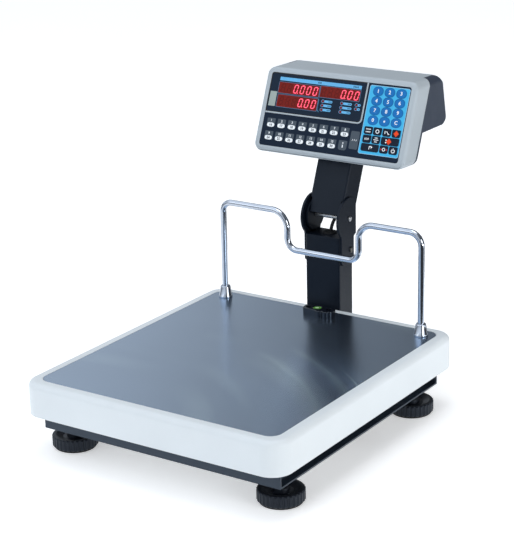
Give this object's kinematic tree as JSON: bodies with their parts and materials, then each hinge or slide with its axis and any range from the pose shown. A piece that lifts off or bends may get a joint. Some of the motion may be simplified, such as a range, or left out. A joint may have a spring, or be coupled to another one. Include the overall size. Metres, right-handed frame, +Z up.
{
  "type": "platform scale",
  "caption": "Bench platform scale: load cell base on levelling feet, stainless plate, chrome goods rail, and a tilting price-computing display head on a short mast.",
  "frame": {"origin": "centre of the object's box at floor level", "axes": "+X to the right of someone facing the display, +Y to the back, +Z up"},
  "size_m": [0.446, 0.6566, 0.4804],
  "materials": {
    "pan_paint": "semi-gloss powder coat, pale bluish silver",
    "stainless": "brushed stainless sheet",
    "chrome": "bright plated",
    "frame_paint": "dark blue-grey powder coat",
    "mast_paint": "satin dark navy-black powder coat",
    "zinc": "bright zinc plate",
    "dark_steel": "black oxide",
    "cell_aluminium": "milled",
    "foot_plastic": "glass-filled nylon, black",
    "black_rubber": "matte",
    "level_plastic": "moulded, black",
    "vial_green": "clear dome over green fluid",
    "shell_grey": "moulded, light grey, fine texture",
    "shell_dark": "moulded, dark slate, fine texture",
    "overlay_film": "printed polyester film, navy",
    "red_lens": "smoked red",
    "led_black": "moulded digit block",
    "circuit_board": "solder mask green",
    "battery_case": "moulded ABS",
    "cable_black": "PVC sheath"
  },
  "bodies": {
    "base": {"side_rail_left": "frame_paint", "side_rail_right": "frame_paint", "frame_screws": "zinc", "front_cross_member": "frame_paint", "rear_cross_member": "frame_paint", "corner_plates": "frame_paint", "overload_stops": "zinc", "foot_nuts": "zinc", "centre_beam": "frame_paint", "load_cell_spacer": "zinc", "load_cell": "cell_aluminium", "load_cell_base_bolts": "dark_steel", "mast_foot_bracket": "mast_paint", "mast_tube": "mast_paint", "mast_bolts": "zinc", "mast_top_plate": "mast_paint", "cable_grommet": "black_rubber", "cheek_left": "mast_paint", "cheek_right": "mast_paint", "cheek_screws": "dark_steel", "pivot_bolt": "zinc", "signal_cable": "cable_black"},
    "carrier": {"load_cell_live_bolts": "dark_steel", "carrier_plate": "frame_paint", "carrier_arms": "frame_paint", "carrier_pads": "black_rubber"},
    "pan": {"pan_skirt": "pan_paint", "pan_plate": "stainless", "guard_rail": "chrome", "rail_sockets": "chrome", "rail_fixings": "zinc", "level_housing": "level_plastic", "level_vial": "vial_green", "level_screws": "zinc"},
    "head": {"neck_tube": "mast_paint", "hinge_discs": "mast_paint", "head_front_shell": "shell_grey", "head_rear_shell": "shell_dark", "keypad_overlay": "overlay_film", "led_board": "circuit_board", "led_modules": "led_black", "main_board": "circuit_board", "battery": "battery_case", "customer_window": "red_lens", "customer_led_modules": "led_black", "power_inlet": "level_plastic", "head_screws": "dark_steel"},
    "foot_1": {"foot_sole_1": "black_rubber"},
    "foot_screw_1": {"foot_wheel_1": "foot_plastic", "foot_stud_1": "zinc"},
    "foot_2": {"foot_sole_2": "black_rubber"},
    "foot_screw_2": {"foot_wheel_2": "foot_plastic", "foot_stud_2": "zinc"},
    "foot_3": {"foot_sole_3": "black_rubber"},
    "foot_screw_3": {"foot_wheel_3": "foot_plastic", "foot_stud_3": "zinc"},
    "foot_4": {"foot_sole_4": "black_rubber"},
    "foot_screw_4": {"foot_wheel_4": "foot_plastic", "foot_stud_4": "zinc"}
  },
  "joints": [
    {"name": "load_travel", "type": "slide", "parent": "base", "child": "carrier", "axis": [0, 0, 1], "range_m": [-0.001, 0], "stiffness_N_per_m": 200000, "springref_m": 0.00085, "deforming": ["load_cell"]},
    {"name": "pan_lift", "type": "slide", "parent": "carrier", "child": "pan", "axis": [0, 0, 1], "range_m": [0, 0.06]},
    {"name": "head_tilt", "type": "hinge", "parent": "base", "child": "head", "pos_m": [-0.0203, 0.2017, 0.2583], "axis": [1, 0, 0], "range_deg": [-20, 22], "deforming": ["signal_cable"]},
    {"name": "foot_height_1", "type": "slide", "parent": "base", "child": "foot_1", "axis": [0, 0, 1], "range_m": [-0.0089, 0.0089]},
    {"name": "foot_spin_1", "type": "hinge", "parent": "foot_1", "child": "foot_screw_1", "pos_m": [-0.1812, -0.2618, 0], "axis": [0, 0, 1], "range_deg": [-2160, 2160]},
    {"name": "foot_height_2", "type": "slide", "parent": "base", "child": "foot_2", "axis": [0, 0, 1], "range_m": [-0.0089, 0.0089]},
    {"name": "foot_spin_2", "type": "hinge", "parent": "foot_2", "child": "foot_screw_2", "pos_m": [0.1812, -0.2618, 0], "axis": [0, 0, 1], "range_deg": [-2160, 2160]},
    {"name": "foot_height_3", "type": "slide", "parent": "base", "child": "foot_3", "axis": [0, 0, 1], "range_m": [-0.0089, 0.0089]},
    {"name": "foot_spin_3", "type": "hinge", "parent": "foot_3", "child": "foot_screw_3", "pos_m": [-0.1812, 0.1052, 0], "axis": [0, 0, 1], "range_deg": [-2160, 2160]},
    {"name": "foot_height_4", "type": "slide", "parent": "base", "child": "foot_4", "axis": [0, 0, 1], "range_m": [-0.0089, 0.0089]},
    {"name": "foot_spin_4", "type": "hinge", "parent": "foot_4", "child": "foot_screw_4", "pos_m": [0.1812, 0.1052, 0], "axis": [0, 0, 1], "range_deg": [-2160, 2160]}
  ],
  "couplings": [
    {"joint": "foot_spin_1", "follows": "foot_height_1", "rad_per_m": 4188.8},
    {"joint": "foot_spin_2", "follows": "foot_height_2", "rad_per_m": 4188.8},
    {"joint": "foot_spin_3", "follows": "foot_height_3", "rad_per_m": 4188.8},
    {"joint": "foot_spin_4", "follows": "foot_height_4", "rad_per_m": 4188.8}
  ]
}
